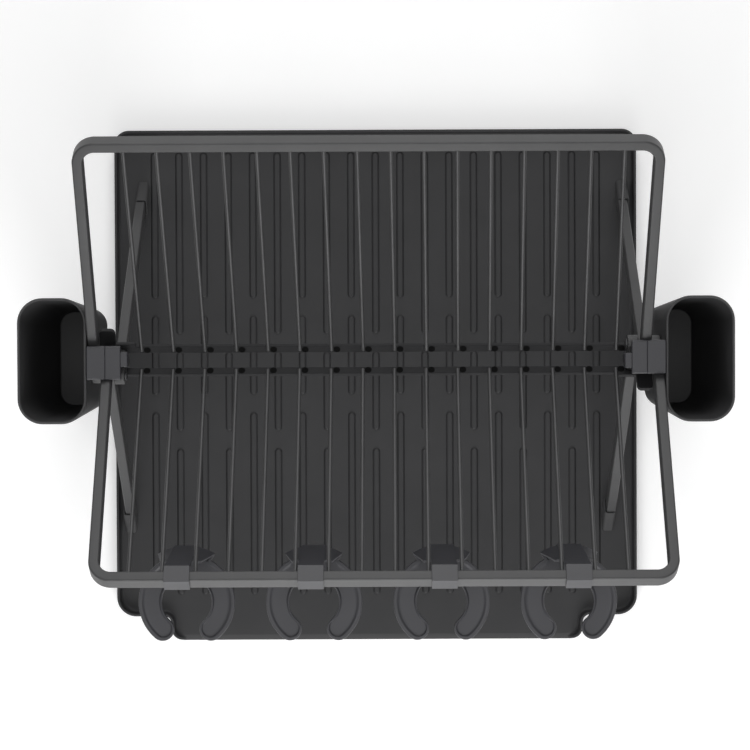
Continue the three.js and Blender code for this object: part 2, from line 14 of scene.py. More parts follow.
import bpy
import numpy as np
from mathutils import Matrix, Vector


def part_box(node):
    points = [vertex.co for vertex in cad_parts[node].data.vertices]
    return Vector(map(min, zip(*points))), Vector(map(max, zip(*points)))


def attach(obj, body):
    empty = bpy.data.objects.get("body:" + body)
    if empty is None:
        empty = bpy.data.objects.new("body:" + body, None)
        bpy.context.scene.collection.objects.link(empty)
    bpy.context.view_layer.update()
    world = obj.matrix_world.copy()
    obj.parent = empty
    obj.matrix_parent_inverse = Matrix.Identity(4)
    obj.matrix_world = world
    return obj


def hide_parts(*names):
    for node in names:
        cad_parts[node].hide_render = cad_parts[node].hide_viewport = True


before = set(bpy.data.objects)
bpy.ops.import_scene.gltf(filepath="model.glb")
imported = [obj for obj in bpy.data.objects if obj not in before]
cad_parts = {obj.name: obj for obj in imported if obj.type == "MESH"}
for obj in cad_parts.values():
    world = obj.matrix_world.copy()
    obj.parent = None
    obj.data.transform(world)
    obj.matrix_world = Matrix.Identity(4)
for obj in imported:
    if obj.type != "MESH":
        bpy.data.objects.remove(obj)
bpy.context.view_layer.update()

MM = 0.001
pin_low, pin_high = (np.array(corner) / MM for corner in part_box("left_pivot_pin"))
PIVOT = np.array([0.0, (pin_low[1] + pin_high[1]) / 2, (pin_low[2] + pin_high[2]) / 2])
print("pivot at", PIVOT.round(2), "mm")

# %% [markdown]
# ## The camera
#
# The photograph looks straight down, with a long lens, from just under two metres. The camera
# comes first, so that each piece can be judged in the frame as soon as it is made. Its turn is
# given as three small angles, because it looks very nearly straight down.

# %% Camera
CAMERA_HEIGHT = 1920.868
CAMERA_ASIDE = -0.707
CAMERA_AHEAD = 24.591
CAMERA_TILTS = (-0.0208045, 0.000115158, -0.004285755)
LENS_MM = 110.4
SENSOR_MM = 36.0


def add_camera():
    """A camera over the rack: turned about Z, then Y, then X, by three small angles."""
    lens = bpy.data.cameras.new("camera")
    lens.lens = LENS_MM
    lens.sensor_width = SENSOR_MM
    lens.clip_end = 10.0
    camera = bpy.data.objects.new("camera", lens)
    turn_x, turn_y, turn_z = (Matrix.Rotation(a, 4, axis) for a, axis in zip(CAMERA_TILTS, "XYZ"))
    place = Matrix.Translation((CAMERA_ASIDE * MM, (PIVOT[1] + CAMERA_AHEAD) * MM, CAMERA_HEIGHT * MM))
    camera.matrix_world = place @ turn_x @ turn_y @ turn_z
    bpy.context.scene.collection.objects.link(camera)
    bpy.context.scene.camera = camera
    return camera


camera = add_camera()
print("camera at", [round(v, 4) for v in camera.location])

# %% [markdown]
# ## From arrays to meshes
#
# A swept surface is a grid of points: one row for each ring. The faces between two rings are the
# same for every sweep, so one helper works them out as index arrays. Several closed shells may
# share one mesh, as the ribs and the floor of a moulding do.

# %% Faces from rings


def grid_faces(rings, around, start=0):
    """Quads between neighbouring rings: point (r, i) joins (r, i+1), (r+1, i+1) and (r+1, i)."""
    r, i = np.meshgrid(np.arange(rings - 1), np.arange(around), indexing="ij")
    j = (i + 1) % around
    quads = np.stack([r * around + i, r * around + j, (r + 1) * around + j, (r + 1) * around + i], axis=-1)
    return quads.reshape(-1, 4) + start


def shell(grid, start=0):
    """A closed shell from rings (R, N, 3): the quads between them and one flat face at each end."""
    rings, around = grid.shape[:2]
    quads = grid_faces(rings, around, start).tolist()
    first = list(range(start, start + around))[::-1]
    last = list(range(start + (rings - 1) * around, start + rings * around))
    return grid.reshape(-1, 3), quads + [first, last]


def signed_volume(points, faces):
    """Sum of the tetrahedra between the origin and a fan over each face: negative if inside out."""
    total = 0.0
    for face in faces:
        corners = points[face]
        fan = np.cross(corners[1:-1] - corners[0], corners[2:] - corners[0])
        total += (fan @ corners[0]).sum()
    return total


checked = shell(np.arange(24.0).reshape(2, 4, 3))
print("a shell of", len(checked[0]), "points has", len(checked[1]), "faces")

# %% [markdown]
# A piece is finished in the same way each time. Faces that turn away from each other by less than
# the smooth angle are shaded as one, and weighted normals keep the large flat faces flat. Where a
# Bevel modifier rounds a piece, it works on the sharp edges alone.

# %% Shells into a piece
SMOOTH_ANGLE = math.radians(38)
BEVEL_ANGLE = math.radians(30)
BEVEL_SEGMENTS = 3


def make_piece(name, shells, body, slot, nodes=(), bevel=0.0):
    """Puts closed shells, given in millimetres, into one mesh that rides on a body."""
    points, faces = [], []
    count = 0
    for grid in shells:
        own, own_faces = shell(grid)
        if signed_volume(own, own_faces) < 0:
            own_faces = [face[::-1] for face in own_faces]
        points.append(own)
        faces.extend([[i + count for i in face] for face in own_faces])
        count += len(own)
    mesh = bpy.data.meshes.new(name)
    mesh.from_pydata((np.concatenate(points) * MM).tolist(), [], faces)
    mesh.validate()
    mesh.shade_smooth()
    mesh.set_sharp_from_angle(angle=SMOOTH_ANGLE)
    piece = bpy.data.objects.new(name, mesh)
    bpy.context.scene.collection.objects.link(piece)
    if bevel:
        rounding = piece.modifiers.new("rounding", "BEVEL")
        rounding.width = bevel * MM
        rounding.segments = BEVEL_SEGMENTS
        rounding.limit_method = "ANGLE"
        rounding.angle_limit = BEVEL_ANGLE
    weighted = piece.modifiers.new("even_shading", "WEIGHTED_NORMAL")
    weighted.keep_sharp = True
    piece.data.materials.append(FINISHES[slot])
    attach(piece, body)
    if nodes:
        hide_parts(*nodes)


print("smooth below", round(math.degrees(SMOOTH_ANGLE)), "degrees")

# %% [markdown]
# Two shapes come back all through the rack: a rectangle with rounded corners, and a flat section
# that is carried along a line of centres.

# %% Sections and how they are carried
def rounded_rectangle(half_x, half_y, radius, steps):
    """Four quarter circles of one radius, joined by straight sides, counter-clockwise from +X."""
    turn = np.linspace(0, np.pi / 2, steps + 1)
    quarter = np.arange(4)[:, None] * np.pi / 2 + turn[None, :]
    corner = np.array([[1, 1], [-1, 1], [-1, -1], [1, -1]])
    x = corner[:, :1] * (half_x - radius) + radius * np.cos(quarter)
    y = corner[:, 1:] * (half_y - radius) + radius * np.sin(quarter)
    return np.stack([x.ravel(), y.ravel()], axis=-1)


def carry(section, centres, across, through, size=None):
    """Section point (u, v) on ring r goes to centre + u across + v through, with v times a size."""
    size = np.ones(len(centres)) if size is None else size
    return (centres[:, None, :] + section[None, :, :1] * across[:, None, :]
            + section[None, :, 1:] * (through * size[:, None])[:, None, :])


print("a rounded rectangle in 4 steps has", len(rounded_rectangle(2.0, 1.0, 0.5, 4)), "points")

# %% [markdown]
# ## Finishes
#
# The frame has a fine satin powder coat: its grain is a few tenths of a millimetre, too small to
# see as bumps, yet it breaks up the highlight. The rods' coat is partly metal, which gives each rod
# a bright line between dark sides. The plastics are matt with a spark-eroded texture. A noise on
# Object coordinates gives each its grain, because it stays put when a piece moves.

# %% Materials
MOTTLE_SCALE = 38.0
MOTTLE_FROM, MOTTLE_TO = 0.35, 0.65
ROUGHNESS_SPREAD = 0.05
RELIEF_DEPTH = 0.0002


def satin(name, colour, roughness, metal=0.0, grain=2600.0, bump=0.05, mottle=0.06, specular=0.25):
    """Noise at grain size bends the surface, and a slow noise changes its colour and roughness."""
    material = bpy.data.materials.new(name)
    material.use_nodes = True
    nodes, links = material.node_tree.nodes, material.node_tree.links
    shader = nodes["Principled BSDF"]
    shader.inputs["Metallic"].default_value = metal
    shader.inputs["Specular IOR Level"].default_value = specular
    place = nodes.new("ShaderNodeTexCoord")
    fine = nodes.new("ShaderNodeTexNoise")
    fine.inputs["Scale"].default_value = grain
    fine.inputs["Detail"].default_value = 2.0
    slow = nodes.new("ShaderNodeTexNoise")
    slow.inputs["Scale"].default_value = MOTTLE_SCALE
    slow.inputs["Detail"].default_value = 3.0
    links.new(place.outputs["Object"], fine.inputs["Vector"])
    links.new(place.outputs["Object"], slow.inputs["Vector"])
    shade = nodes.new("ShaderNodeValToRGB")
    shade.color_ramp.elements[0].position = MOTTLE_FROM
    shade.color_ramp.elements[1].position = MOTTLE_TO
    shade.color_ramp.elements[0].color = (*(c * (1 - mottle) for c in colour), 1)
    shade.color_ramp.elements[1].color = (*(c * (1 + mottle) for c in colour), 1)
    links.new(slow.outputs["Fac"], shade.inputs["Fac"])
    links.new(shade.outputs["Color"], shader.inputs["Base Color"])
    rough = nodes.new("ShaderNodeMapRange")
    rough.inputs["To Min"].default_value = roughness - ROUGHNESS_SPREAD
    rough.inputs["To Max"].default_value = roughness + ROUGHNESS_SPREAD
    links.new(fine.outputs["Fac"], rough.inputs["Value"])
    links.new(rough.outputs["Result"], shader.inputs["Roughness"])
    relief = nodes.new("ShaderNodeBump")
    relief.inputs["Strength"].default_value = bump
    relief.inputs["Distance"].default_value = RELIEF_DEPTH
    links.new(fine.outputs["Fac"], relief.inputs["Height"])
    links.new(relief.outputs["Normal"], shader.inputs["Normal"])
    return material


FINISHES = {
    "frame_paint": satin("satin_powder_coat", (0.042, 0.042, 0.043), 0.44, bump=0.12, specular=0.29),
    "rod_paint": satin("dark_rod_coat", (0.056, 0.056, 0.057), 0.5, metal=0.75, bump=0.06),
    "pin_steel": satin("darkened_pin_steel", (0.050, 0.050, 0.052), 0.5, metal=0.85, grain=4000.0),
    "tray_plastic": satin("matt_tray", (0.021, 0.021, 0.022), 0.55, grain=1800.0, bump=0.10),
    "basket_plastic": satin("matt_basket", (0.042, 0.042, 0.043), 0.5, grain=1800.0, bump=0.10),
    "crossbar_plastic": satin("matt_crossbar", (0.013, 0.013, 0.014), 0.6, grain=1800.0, specular=0.15),
    "clip_plastic": satin("satin_clip", (0.028, 0.028, 0.032), 0.42, grain=1800.0, bump=0.08, specular=0.33),
    # Near-black, for the painted shadow beside each rod's foot on the crossbar.
    "painted_shadow": satin("black_painted_shadow", (0.004, 0.004, 0.004), 0.8, grain=1500.0, bump=0.1, specular=0.05),
    "foot_rubber": satin("matt_foot_rubber", (0.038, 0.038, 0.039), 0.7, grain=1500.0, bump=0.15),
}
print(len(FINISHES), "finishes")

# %% [markdown]
# ## How the frames stand
#
# Each frame is drawn flat, with z along the arm or leg, y out of its plane and x across the rack.
# Arms lean 57 degrees from the vertical and legs just under 39. The front frame is the same frame
# turned half round, which is why the two pass each other at the pivots.

# %% Frame directions
ROD_PITCH = 24.0
RODS = 16
ROD_END_MARGIN = 10.0
BAR_WIDTH = 7.7
BAR_THICKNESS = 12.4
BAR_ROUND = 1.3
LAYER_GAP = 2.2
ARM_ANGLE = math.radians(57)
LEG_ANGLE = math.radians(38.7)
ARM_LENGTH = 185.8
TRAY_FLOOR = 2.6
LEG_END_RISE = 6.5
GAP = 0.3

HALF_WIDTH = BAR_WIDTH / 2
HALF_THICKNESS = BAR_THICKNESS / 2
BEND = ARM_ANGLE - LEG_ANGLE
INNERMOST_FACE = (RODS - 1) / 2 * ROD_PITCH + ROD_END_MARGIN
INNER_LAYER = INNERMOST_FACE + HALF_WIDTH
MIDDLE_LAYER = INNER_LAYER + BAR_WIDTH + LAYER_GAP
OUTER_LAYER = MIDDLE_LAYER + BAR_WIDTH + LAYER_GAP
LEG_LENGTH = (PIVOT[2] - TRAY_FLOOR - LEG_END_RISE) / math.cos(LEG_ANGLE)
X, Y, Z = np.eye(3)


def along(angle):
    """The way up a bar that leans by an angle from the vertical: sine outwards, cosine upwards."""
    return np.array([0.0, math.sin(angle), math.cos(angle)])


def out_of(angle):
    """The way out of the face of such a bar: cosine outwards, minus sine upwards."""
    return np.array([0.0, math.cos(angle), -math.sin(angle)])


def stand(points, angle, front):
    """Leans flat points by the angle, turns them half round for the front frame, lifts them to the pivot."""
    leaned = points[..., :1] * X + points[..., 1:2] * out_of(angle) + points[..., 2:] * along(angle)
    if front:
        leaned = leaned * np.array([-1.0, -1.0, 1.0])
    return leaned + PIVOT


print("bar layers at", [round(layer, 1) for layer in (INNER_LAYER, MIDDLE_LAYER, OUTER_LAYER)], "mm")

# %% [markdown]
# ## Upper loops
#
# Each loop is one flat bar bent round two corners. Its section is a rectangle with small rounded
# edges, carried along the path. The outer side runs on past the pivot as a short bent tail, and
# both ends are half round. A ring that is thinned by a cosine as it moves out by a sine makes them.

# %% Upper loops
LOOP_CORNER = 13.0
TAIL_LENGTH = 18.0
END_STEPS = 8
BEND_POINTS = 17
bar_section = rounded_rectangle(HALF_WIDTH, HALF_THICKNESS, BAR_ROUND, 4)


def round_end(centre, outward):
    """Centres and sizes of a half-round end: out by half the thickness times sine, thinned by cosine."""
    turn = np.linspace(0, np.pi / 2, END_STEPS + 2)[1:-1]
    return centre + HALF_THICKNESS * np.sin(turn)[:, None] * outward, np.cos(turn)


def loop_surface():
    """The bar's section carried up the tail, round both corners and down to the other pivot."""
    left, right = -OUTER_LAYER, MIDDLE_LAYER
    tail_way, tail_out = along(np.pi - BEND), out_of(-BEND)
    tail_end = tail_way * TAIL_LENGTH + left * X
    cap, cap_size = round_end(tail_end, tail_way)
    turns = np.linspace(np.pi, 0, 2 * BEND_POINTS)
    corner_x = np.where(turns > np.pi / 2, left + LOOP_CORNER, right - LOOP_CORNER)
    outward = np.cos(turns)[:, None] * X + np.sin(turns)[:, None] * Z
    bends = corner_x[:, None] * X + (ARM_LENGTH - LOOP_CORNER) * Z + LOOP_CORNER * outward
    foot, foot_size = round_end(right * X, -Z)
    centres = np.concatenate([cap[::-1], [tail_end, left * X], bends, [right * X], foot])
    across = np.concatenate([np.tile(-X, (END_STEPS + 2, 1)), outward, np.tile(X, (END_STEPS + 1, 1))])
    through = np.concatenate([
        np.tile(tail_out, (END_STEPS + 1, 1)),
        [out_of(-BEND / 2) / math.cos(BEND / 2)],
        np.tile(Y, (len(bends) + END_STEPS + 1, 1)),
    ])
    size = np.concatenate([cap_size[::-1], np.ones(len(bends) + 3), foot_size])
    return carry(bar_section, centres, across, through, size)


for side in ("rear", "front"):
    surface = stand(loop_surface(), ARM_ANGLE, side == "front")
    make_piece(f"{side}_loop_bar", [surface], f"{side}_frame", "frame_paint", [f"{side}_loop"])
print("loop of", surface.shape[0], "rings")

# %% [markdown]
# ## Legs
#
# The legs are the same bar. The inner one bends where it passes the pivot and runs a little way up
# the arm; the middle one starts just under the pivot, beside the loop's tail.

# %% Legs
LAP_LENGTH = 14.0
MIDDLE_LEG_START = 12.5


def straight_leg():
    """The section carried down a straight line, with a half-round top and a square foot."""
    top = -MIDDLE_LAYER * X - MIDDLE_LEG_START * Z
    cap, cap_size = round_end(top, Z)
    centres = np.concatenate([cap[::-1], [top, -MIDDLE_LAYER * X - LEG_LENGTH * Z]])
    count = len(centres)
    return carry(bar_section, centres, np.tile(X, (count, 1)), np.tile(Y, (count, 1)),
                 np.concatenate([cap_size[::-1], [1, 1]]))


def bent_leg():
    """The section carried down the lap, round the bend at the pivot, and down the leg."""
    lap_way, lap_out = along(BEND), out_of(BEND)
    top = INNER_LAYER * X + lap_way * LAP_LENGTH
    cap, cap_size = round_end(top, lap_way)
    centres = np.concatenate([cap[::-1], [top, INNER_LAYER * X, INNER_LAYER * X - LEG_LENGTH * Z]])
    through = np.concatenate([
        np.tile(lap_out, (END_STEPS + 1, 1)),
        [out_of(BEND / 2) / math.cos(BEND / 2), Y],
    ])
    return carry(bar_section, centres, np.tile(X, (len(centres), 1)), through,
                 np.concatenate([cap_size[::-1], [1, 1, 1]]))


for side in ("rear", "front"):
    for leg, surface in (("middle_leg", straight_leg()), ("inner_leg", bent_leg())):
        leg_surface = stand(surface, LEG_ANGLE, side == "front")
        make_piece(f"{side}_{leg}_bar", [leg_surface], f"{side}_frame", "frame_paint", [f"{side}_{leg}"])
print("legs", round(LEG_LENGTH, 1), "mm below the pivot")

# %% [markdown]
# ## Foot caps
#
# Each leg stands in a rubber shoe, cut level with the tray's floor. The shoe is a stack of rounded
# rectangles up the leg: the lowest is sheared so that it lies flat, and the last ones turn over the
# rim and down inside. On the side where the other frame's leg passes it stops just short of the
# leg's own face, so that no wall shows there.

# %% Foot caps
CAP_WALL = 1.7
CAP_LENGTH = 12.5
CAP_ROUND = 2.4
CAP_POCKET = 4.0
CAP_SHY = 0.15
CAP_EDGE = 1.0
CAP_LEAST_ROUND = 0.4


def foot_cap(layer):
    """Rings given as (inset, height up the leg); the two lowest follow the floor's slope."""
    floor_drop = PIVOT[2] - TRAY_FLOOR - GAP
    rim = CAP_LENGTH - LEG_LENGTH
    inside = CAP_WALL - GAP
    profile = np.array([[CAP_EDGE, np.nan], [0.0, np.nan], [0.0, rim - 0.8], [0.25, rim - 0.25], [0.8, rim],
                        [inside - 0.5, rim], [inside, rim - 0.5], [inside, rim - CAP_POCKET]])
    rings = []
    centre = layer - (CAP_WALL + CAP_SHY) / 2
    half = HALF_WIDTH + (CAP_WALL - CAP_SHY) / 2
    for number, (inset, height) in enumerate(profile):
        outline = rounded_rectangle(half - inset, HALF_THICKNESS + CAP_WALL - inset,
                                    max(CAP_ROUND - inset, CAP_LEAST_ROUND), 5)
        level = (outline[:, 1] * math.sin(LEG_ANGLE) - floor_drop) / math.cos(LEG_ANGLE)
        if number < 2:
            rise = level + number * CAP_EDGE
        else:
            rise = np.full(len(outline), height)
        rings.append(np.stack([centre + outline[:, 0], outline[:, 1], rise], axis=-1))
    return np.stack(rings)


for side in ("rear", "front"):
    for foot, layer in (("middle_foot", -MIDDLE_LAYER), ("inner_foot", INNER_LAYER)):
        cap_surface = stand(foot_cap(layer), LEG_ANGLE, side == "front")
        make_piece(f"{side}_{foot}_cap", [cap_surface], f"{side}_frame", "foot_rubber", [f"{side}_{foot}"])
print("foot caps of", cap_surface.shape[0], "rings")

# %% [markdown]
# ## Crossbars and plate rods
#
# A thin moulded crossbar ties the two sides of each frame beside the pivots. At one end a raised
# lug takes it past the other frame's leg, to a bracket along the outer arm. The bracket is a stack
# of rounded rectangles, smaller at both faces, so that its rim is soft.

# %% Crossbars
CROSSBAR_DEPTH = 6.2
CROSSBAR_THICKNESS = 4.0
CROSSBAR_ALONG = 6.6
CROSSBAR_OUTSIDE = 6.3
CROSSBAR_LUG_DEPTH = 4.4
CROSSBAR_LUG_ALONG = 9.6
CROSSBAR_LUG_LAP = 7.0
CROSSBAR_ROUND = 1.0
BRACKET_WIDTH, BRACKET_REACH, BRACKET_ROUND = 12.0, 24.0, 3.5


def crossbar():
    """Rounded rectangles, carried along X for bar and lug, and stacked out of the face for the bracket."""
    reach = INNERMOST_FACE - GAP
    arm_face = GAP + HALF_WIDTH - OUTER_LAYER
    runs = [(-reach, reach, CROSSBAR_ALONG, CROSSBAR_DEPTH),
            (arm_face, CROSSBAR_LUG_LAP - reach, CROSSBAR_LUG_ALONG, CROSSBAR_LUG_DEPTH)]
    shells = []
    for start, end, place, depth in runs:
        section = rounded_rectangle(CROSSBAR_THICKNESS / 2, depth / 2, CROSSBAR_ROUND, 4)
        centres = np.array([start, end])[:, None] * X + CROSSBAR_OUTSIDE * Y + place * Z
        shells.append(carry(section, centres, np.tile(Y, (2, 1)), np.tile(Z, (2, 1))))
    foot = CROSSBAR_LUG_ALONG - CROSSBAR_LUG_DEPTH / 2
    middle = (arm_face + BRACKET_WIDTH / 2) * X + (foot + BRACKET_REACH) / 2 * Z
    rim = np.array([[-2.0, 0.8], [-1.8, 0.2], [-1.2, 0.0], [1.2, 0.0], [1.8, 0.2], [2.0, 0.8]])
    rings = []
    for outside, inset in rim:
        outline = rounded_rectangle(BRACKET_WIDTH / 2 - inset, (BRACKET_REACH - foot) / 2 - inset,
                                    BRACKET_ROUND - inset, 6)
        rings.append(middle + outline[:, :1] * X + (CROSSBAR_OUTSIDE + outside) * Y + outline[:, 1:] * Z)
    return shells + [np.stack(rings)]


print("crossbar of", len(crossbar()), "shells")

# %% [markdown]
# The rods lie across the crossbar and are welded at the head to the top bar. A rod is a circle
# carried along a line, drawn in at its foot, where it is cut, and swelled at its head into a small
# bead of weld. Its line leans a millimetre or two aside, as the rods of the real rack do. A near-black
# disc beside each rod's foot is painted shadow: the dark spot of shade on the crossbar there.

# %% Rods and painted shadows
ROD_RADIUS = 1.5
ROUND_SIDES = 20
ROD_FOOT_INSET = 3.3
ROD_OUTSIDE = CROSSBAR_OUTSIDE - CROSSBAR_THICKNESS / 2 - ROD_RADIUS - GAP
ROD_ASIDE = {"rear": (2.2, -1.1), "front": (-1.9, -1.1)}
# Size and place of the near-black discs of painted shadow beside the rods' feet; they sit to the same side
# in both frames.
PAINTED_SHADOW_RADIUS = 2.6
PAINTED_SHADOW_ASIDE = {"rear": 4.0, "front": -4.0}
ROUND_TURN = np.linspace(0, 2 * np.pi, ROUND_SIDES, endpoint=False)


def rod(x, side):
    """Circles up a line: drawn in at the foot, swelled at the weld; the line leans a little aside."""
    foot = CROSSBAR_ALONG - CROSSBAR_DEPTH / 2 + ROD_FOOT_INSET
    head = ARM_LENGTH - HALF_WIDTH - GAP
    heights = np.array([foot, foot + 0.2, foot + 0.5, head - 2.2, head - 1.2, head - 0.5, head])
    radii = ROD_RADIUS + np.array([-0.5, -0.15, 0.0, 0.0, 0.08, 0.28, 0.55])
    ring = np.cos(ROUND_TURN)[:, None] * X + np.sin(ROUND_TURN)[:, None] * Y
    aside = x + np.interp(heights, [foot, head], ROD_ASIDE[side])
    centres = aside[:, None] * X + ROD_OUTSIDE * Y + heights[:, None] * Z
    return ring[None] * radii[:, None, None] + centres[:, None, :]


def painted_shadow(x, side):
    """A near-black disc of painted shadow beside the rod's foot: four circles out of the crossbar's upper
    face, sunk, proud, rounded over, and narrow on top.
    """
    face = CROSSBAR_OUTSIDE - CROSSBAR_THICKNESS / 2
    outside = face + np.array([0.6, -0.1, -0.3, -0.35])
    radii = PAINTED_SHADOW_RADIUS - np.array([0.0, 0.0, 0.2, 0.5])
    ring = np.cos(ROUND_TURN)[:, None] * X + np.sin(ROUND_TURN)[:, None] * Z
    aside = x + ROD_ASIDE[side][0] + PAINTED_SHADOW_ASIDE[side]
    return ring[None] * radii[:, None, None] + aside * X + CROSSBAR_ALONG * Z + outside[:, None, None] * Y


places = (np.arange(RODS) - (RODS - 1) / 2) * ROD_PITCH
for side in ("rear", "front"):
    runs = [stand(run, ARM_ANGLE, side == "front") for run in crossbar()]
    painted_shadows = [stand(painted_shadow(x, side), ARM_ANGLE, side == "front") for x in places]
    # Near-black discs of painted shadow beside the rods' feet.
    make_piece(f"{side}_rod_painted_shadows", painted_shadows, f"{side}_frame", "painted_shadow")
    make_piece(f"{side}_crossbar_bar", runs, f"{side}_frame", "crossbar_plastic", [f"{side}_crossbar"])
    for number in range(RODS):
        rod_surface = stand(rod(places[number], side), ARM_ANGLE, side == "front")
        make_piece(f"{side}_plate_rod_{number + 1}", [rod_surface], f"{side}_frame", "rod_paint",
                   [f"{side}_rod_{number + 1}"])
print(2 * RODS, "rods, and as many grommets")

# %% [markdown]
# ## Pins and rivets
#
# Each pin is a profile turned about the X axis. The head is slightly domed, and the far end has a
# small chamfer.

# %% Pins and rivets
PIN_RADIUS, PIN_HEAD_RADIUS, PIN_HEAD_THICKNESS = 2.5, 4.4, 2.2
RIVET_RADIUS, RIVET_HEAD_RADIUS, RIVET_HEAD_THICKNESS = 2.0, 3.6, 1.6
PIN_CHAMFER = 0.6
PIN_SIDES = 28
LAP_RIVET_PLACE = 13.5
TAIL_RIVET_PLACE = 14.5


def turned_pin(x_end, x_head, radius, head_radius=0.0, head_thickness=0.0):
    """Profile (place along X, radius) spun about X: chamfer, shank, and any head with its dome."""
    way = np.sign(x_head - x_end)
    length = abs(x_head - x_end)
    profile = [[0, radius - PIN_CHAMFER], [PIN_CHAMFER, radius], [length, radius]]
    if head_thickness:
        profile += [[length, head_radius], [length + head_thickness * 0.55, head_radius],
                    [length + head_thickness * 0.85, head_radius * 0.85],
                    [length + head_thickness, head_radius * 0.55]]
    profile = np.array(profile)
    turn = np.linspace(0, 2 * np.pi, PIN_SIDES, endpoint=False)
    ring = np.cos(turn)[:, None] * Y + np.sin(turn)[:, None] * Z
    return (x_end + way * profile[:, 0])[:, None, None] * X + profile[:, 1][:, None, None] * ring[None]


for side in ("rear", "front"):
    lap = turned_pin(MIDDLE_LAYER + HALF_WIDTH - GAP, INNERMOST_FACE - GAP, RIVET_RADIUS,
                     RIVET_HEAD_RADIUS, RIVET_HEAD_THICKNESS)
    lap = stand(lap + LAP_RIVET_PLACE * Z, ARM_ANGLE, side == "front")
    make_piece(f"{side}_lap_rivet_turned", [lap], f"{side}_frame", "pin_steel", [f"{side}_lap_rivet"])
    tail = turned_pin(GAP - OUTER_LAYER - HALF_WIDTH, HALF_WIDTH - MIDDLE_LAYER - GAP, RIVET_RADIUS)
    tail = stand(tail - TAIL_RIVET_PLACE * Z, LEG_ANGLE, side == "front")
    make_piece(f"{side}_tail_rivet_turned", [tail], f"{side}_frame", "pin_steel", [f"{side}_tail_rivet"])
for name, side in (("left", -1), ("right", 1)):
    pin_end, pin_face = side * (OUTER_LAYER + HALF_WIDTH - GAP), side * (INNERMOST_FACE - GAP)
    pin = turned_pin(pin_end, pin_face, PIN_RADIUS, PIN_HEAD_RADIUS, PIN_HEAD_THICKNESS)
    make_piece(f"{name}_pivot_pin_turned", [pin + PIVOT], "axle", "pin_steel", [f"{name}_pivot_pin"])
print("2 pins and 4 rivets")

# %% [markdown]
# ## Drip tray
#
# The tray is one moulding. A profile of (inset, height) pairs goes up the outside, over the rim,
# down the inside and round a fillet to the floor, and it is carried along the tray's outline. An
# inset only changes the radius of each corner arc, never its centre, so the whole wall is one
# array. The rim falls away along the pouring lip, where a smooth step lowers it to the floor.

# %% Drip tray outline
CORNER_STEPS = 12
TRAY_HEIGHT = 14.0
TRAY_WALL = 2.2
FOOT_TO_WALL = 4.5
REAR_MARGIN, FRONT_MARGIN, LIP_SIDE_MARGIN = 56.3, 83.3, 45.0
LEG_REACH = LEG_LENGTH * math.sin(LEG_ANGLE)
TRAY_HALF = MIDDLE_LAYER + HALF_WIDTH + CAP_WALL + FOOT_TO_WALL + TRAY_WALL
TRAY_REAR = LEG_REACH + REAR_MARGIN
TRAY_FRONT = LEG_REACH + FRONT_MARGIN
LIP_REACH = 21.5
LIP_HALF = TRAY_HALF - LIP_SIDE_MARGIN
LIP_END = -TRAY_FRONT - LIP_REACH
REAR_CORNER, FRONT_CORNER, LIP_CORNER, LIP_NOTCH = 12.0, 16.0, 12.0, 6.0


def tray_outline(inset):
    """Arcs given as centre, radius, and the quarter turns they start and end at; hollow ones grow."""
    arcs = np.array([
        [TRAY_HALF - REAR_CORNER, TRAY_REAR - REAR_CORNER, REAR_CORNER, 0, 1, 1],
        [REAR_CORNER - TRAY_HALF, TRAY_REAR - REAR_CORNER, REAR_CORNER, 1, 2, 1],
        [FRONT_CORNER - TRAY_HALF, FRONT_CORNER - TRAY_FRONT, FRONT_CORNER, 2, 3, 1],
        [-LIP_HALF - LIP_NOTCH, -TRAY_FRONT - LIP_NOTCH, LIP_NOTCH, 1, 0, -1],
        [LIP_CORNER - LIP_HALF, LIP_END + LIP_CORNER, LIP_CORNER, 2, 3, 1],
        [LIP_HALF - LIP_CORNER, LIP_END + LIP_CORNER, LIP_CORNER, 3, 4, 1],
        [LIP_HALF + LIP_NOTCH, -TRAY_FRONT - LIP_NOTCH, LIP_NOTCH, 2, 1, -1],
        [TRAY_HALF - FRONT_CORNER, FRONT_CORNER - TRAY_FRONT, FRONT_CORNER, 3, 4, 1],
    ])
    share = np.linspace(0, 1, CORNER_STEPS + 1)
    turn = (arcs[:, 3:4] + (arcs[:, 4:5] - arcs[:, 3:4]) * share) * np.pi / 2
    radius = arcs[:, 2:3] - inset[:, None, None] * arcs[:, 5:6]
    x = arcs[:, 0:1] + radius * np.cos(turn)
    y = arcs[:, 1:2] + radius * np.sin(turn)
    return x.reshape(len(inset), -1), y.reshape(len(inset), -1)


print("tray", round(2 * TRAY_HALF), "mm wide and", round(TRAY_REAR - LIP_END), "mm deep")

# %% [markdown]
# The wall's profile has a rounded foot and rim. Along the lip the floor falls away with the cube
# of the way out, so that it bends gently at first and most at its edge.

# %% Drip tray walls and floor
FOOT_ROUND = 1.5
RIM_ROUND = 0.8
FILLET = 3.0
LIP_FALL = 2.1
LIP_FALL_POWER = 3
FLOOR_INSET = TRAY_WALL + FILLET


def smooth_step(value, low, high):
    """3t^2 - 2t^3 of the place of the value between low and high, held at 0 and 1 outside."""
    t = np.clip((value - low) / (high - low), 0, 1)
    return t * t * (3 - 2 * t)


def tray_profile():
    """(inset, height) from the underside, up the wall, over the rim and round the floor's fillet."""
    quarter = np.linspace(0, np.pi / 2, 6)
    foot = FOOT_ROUND * (1 - np.stack([np.sin(quarter), np.cos(quarter)], axis=-1))
    rim_out = np.stack([RIM_ROUND * (1 - np.cos(quarter)),
                        TRAY_HEIGHT - RIM_ROUND * (1 - np.sin(quarter))], axis=-1)
    rim_in = np.stack([TRAY_WALL - RIM_ROUND * (1 - np.cos(quarter[::-1])),
                       TRAY_HEIGHT - RIM_ROUND * (1 - np.sin(quarter[::-1]))], axis=-1)
    fillet = np.stack([FLOOR_INSET - FILLET * np.cos(quarter),
                       TRAY_FLOOR + FILLET - FILLET * np.sin(quarter)], axis=-1)
    return np.concatenate([foot, rim_out, rim_in, fillet])


